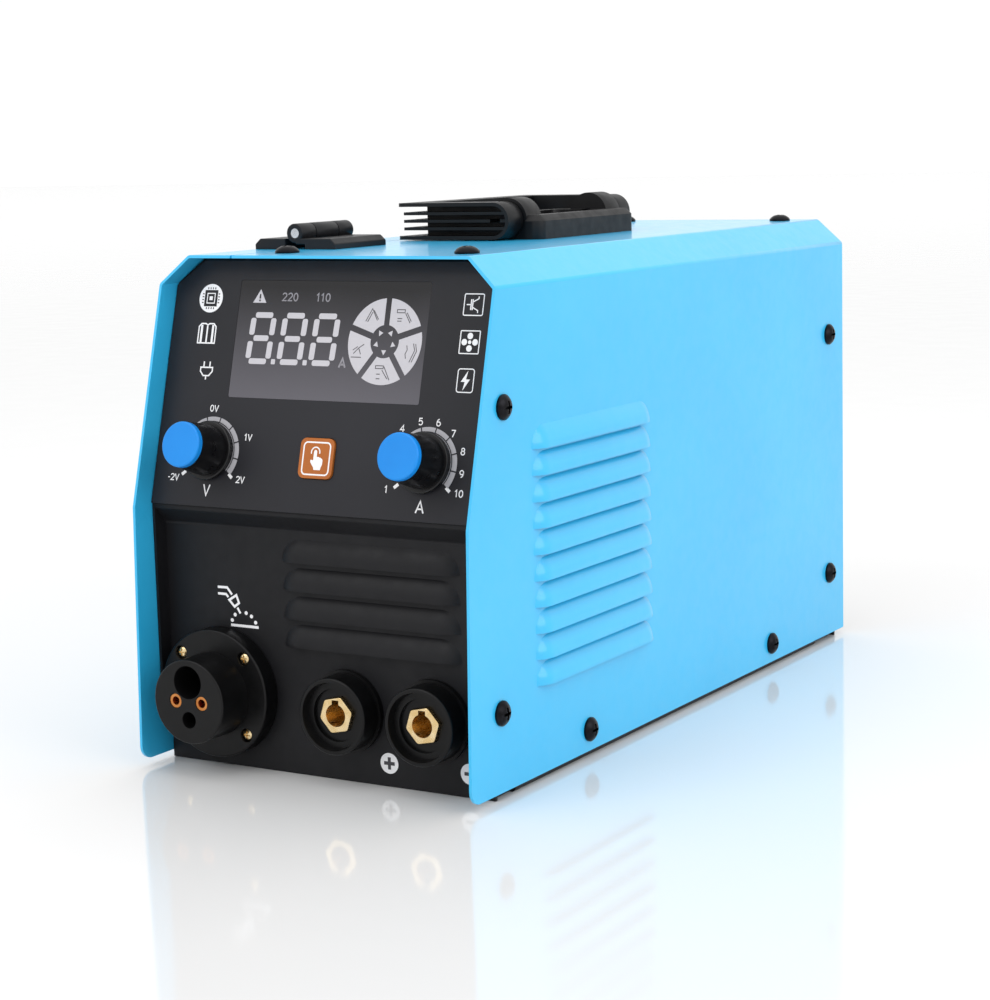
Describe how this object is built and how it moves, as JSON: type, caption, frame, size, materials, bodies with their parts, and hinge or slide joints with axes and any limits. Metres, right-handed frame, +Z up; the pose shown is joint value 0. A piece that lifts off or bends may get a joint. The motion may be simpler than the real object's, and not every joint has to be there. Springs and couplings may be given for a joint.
{
  "type": "mig welding machine",
  "caption": "Portable inverter MIG welder: folded blue cover, hinged wire bay door, sloped control fascia, torch and power sockets, folding carry handle.",
  "frame": {"origin": "underside of the base tray, midway across the cover and midway along it", "axes": "+Z up, +Y towards the back, +X to the right of someone facing the front panel"},
  "size_m": [0.1694, 0.3747, 0.2265],
  "materials": {
    "blue_powder_coat": "satin sky-blue powder coat",
    "black_powder_coat": "satin black powder coat",
    "galvanised_sheet": "zinc-plated sheet",
    "black_steel": "black oxide screws and hinge leaves",
    "bright_steel": "polished steel",
    "brass": "machined brass",
    "copper": "machined copper",
    "black_nylon": "moulded black nylon",
    "black_gloss_plastic": "smooth black plastic",
    "blue_plastic": "blue plastic",
    "orange_silicone": "orange silicone key",
    "printed_film": "printed polycarbonate film",
    "smoked_window": "smoked clear window",
    "circuit_board": "glass-fibre circuit board with parts",
    "aluminium": "extruded aluminium",
    "ferrite": "sintered ferrite",
    "winding": "taped enamelled copper winding",
    "capacitor_sleeve": "shrink-sleeved capacitor",
    "red_plastic": "red plastic",
    "grey_plastic": "moulded grey plastic",
    "spool_plastic": "moulded spool plastic",
    "copper_wire": "copper-coated steel wire"
  },
  "bodies": {
    "chassis": {"base_tray": "black_powder_coat", "front_panel": "black_powder_coat", "fascia_overlay": "printed_film", "display_lens": "smoked_window", "display_module": "black_gloss_plastic", "control_board": "circuit_board", "potentiometers": "bright_steel", "torch_socket": "black_nylon", "torch_contacts": "copper", "torch_screws": "brass", "torch_core": "brass", "positive_socket": "black_nylon", "positive_insert": "brass", "negative_socket": "black_nylon", "negative_insert": "brass", "socket_nuts": "bright_steel", "cover_shell": "blue_powder_coat", "cover_screws": "black_steel", "hinge_fixed_leaves": "black_steel", "hinge_pins": "bright_steel", "handle_base": "black_nylon", "handle_pins": "bright_steel", "rear_panel": "black_powder_coat", "fan_frame": "black_nylon", "fan_guard": "bright_steel", "fan_screws": "bright_steel", "power_switch": "black_nylon", "cord_gland": "black_nylon", "centre_divider": "galvanised_sheet", "main_board": "circuit_board", "heatsinks": "aluminium", "bus_capacitors": "capacitor_sleeve", "transformer_core": "ferrite", "transformer_winding": "winding", "output_choke": "winding", "feeder_plate": "black_steel", "feed_motor": "galvanised_sheet", "spool_spindle": "grey_plastic", "spool_nut": "grey_plastic"},
    "side_door": {"side_door": "blue_powder_coat", "hinge_door_leaves": "black_steel"},
    "door_latch": {"door_latch": "black_nylon"},
    "carry_handle": {"handle_grip": "black_nylon"},
    "voltage_knob": {"voltage_knob": "black_nylon", "voltage_knob_cap": "blue_plastic", "voltage_shaft": "bright_steel"},
    "current_knob": {"current_knob": "black_nylon", "current_knob_cap": "blue_plastic", "current_shaft": "bright_steel"},
    "mode_button": {"mode_button": "orange_silicone"},
    "power_rocker": {"power_rocker": "red_plastic"},
    "fan_impeller": {"fan_impeller": "grey_plastic"},
    "drive_roller": {"drive_roller": "bright_steel"},
    "pressure_arm": {"pressure_arm": "grey_plastic"},
    "idler_roller": {"idler_roller": "bright_steel"},
    "tension_rod": {"tension_rod": "bright_steel", "tension_spring": "bright_steel"},
    "tension_knob": {"tension_knob": "red_plastic"},
    "wire_spool": {"wire_spool": "spool_plastic", "wire_coil": "copper_wire"}
  },
  "joints": [
    {"name": "door_hinge", "type": "hinge", "parent": "chassis", "child": "side_door", "pos_m": [-0.0454, 0, 0.2152], "axis": [0, 1, 0], "range_deg": [0, 105]},
    {"name": "latch_turn", "type": "hinge", "parent": "side_door", "child": "door_latch", "pos_m": [-0.08, 0.02, 0.034], "axis": [1, 0, 0], "range_deg": [0, 90]},
    {"name": "handle_fold", "type": "hinge", "parent": "chassis", "child": "carry_handle", "pos_m": [0.009, 0.018, 0.217], "axis": [0, 1, 0], "range_deg": [0, 90]},
    {"name": "voltage_turn", "type": "hinge", "parent": "chassis", "child": "voltage_knob", "pos_m": [-0.0515, -0.16331, 0.1304], "axis": [0, 0.965, -0.2622], "range_deg": [-140, 140]},
    {"name": "current_turn", "type": "hinge", "parent": "chassis", "child": "current_knob", "pos_m": [0.0515, -0.16331, 0.1304], "axis": [0, 0.965, -0.2622], "range_deg": [0, 280]},
    {"name": "mode_press", "type": "slide", "parent": "chassis", "child": "mode_button", "axis": [0, 0.965, -0.2622], "range_m": [0, 0.0008], "stiffness_N_per_m": 900, "springref_m": -0.0006},
    {"name": "power_rock", "type": "hinge", "parent": "chassis", "child": "power_rocker", "pos_m": [-0.042, 0.1682, 0.158], "axis": [-1, 0, 0], "range_deg": [0, 20]},
    {"name": "fan_spin", "type": "hinge", "parent": "chassis", "child": "fan_impeller", "pos_m": [0.031, 0.158, 0.112], "axis": [0, 1, 0], "continuous": true},
    {"name": "drive_spin", "type": "hinge", "parent": "chassis", "child": "drive_roller", "pos_m": [-0.05, -0.095, 0.0288], "axis": [1, 0, 0], "continuous": true},
    {"name": "arm_lift", "type": "hinge", "parent": "chassis", "child": "pressure_arm", "pos_m": [-0.042, -0.067, 0.058], "axis": [-1, 0, 0], "range_deg": [0, 60]},
    {"name": "idler_spin", "type": "hinge", "parent": "pressure_arm", "child": "idler_roller", "pos_m": [-0.05, -0.095, 0.0484], "axis": [1, 0, 0], "continuous": true},
    {"name": "rod_swing", "type": "hinge", "parent": "chassis", "child": "tension_rod", "pos_m": [-0.0465, -0.114, 0.03], "axis": [-1, 0, 0], "range_deg": [0, 25]},
    {"name": "tension_turn", "type": "hinge", "parent": "tension_rod", "child": "tension_knob", "pos_m": [-0.0465, -0.114, 0.03], "axis": [0, -0.4226, 0.9063], "continuous": true},
    {"name": "spool_spin", "type": "hinge", "parent": "chassis", "child": "wire_spool", "pos_m": [-0.0475, 0.03, 0.112], "axis": [1, 0, 0], "continuous": true}
  ],
  "couplings": [
    {"joint": "idler_spin", "follows": "drive_spin", "ratio": -1.25}
  ]
}
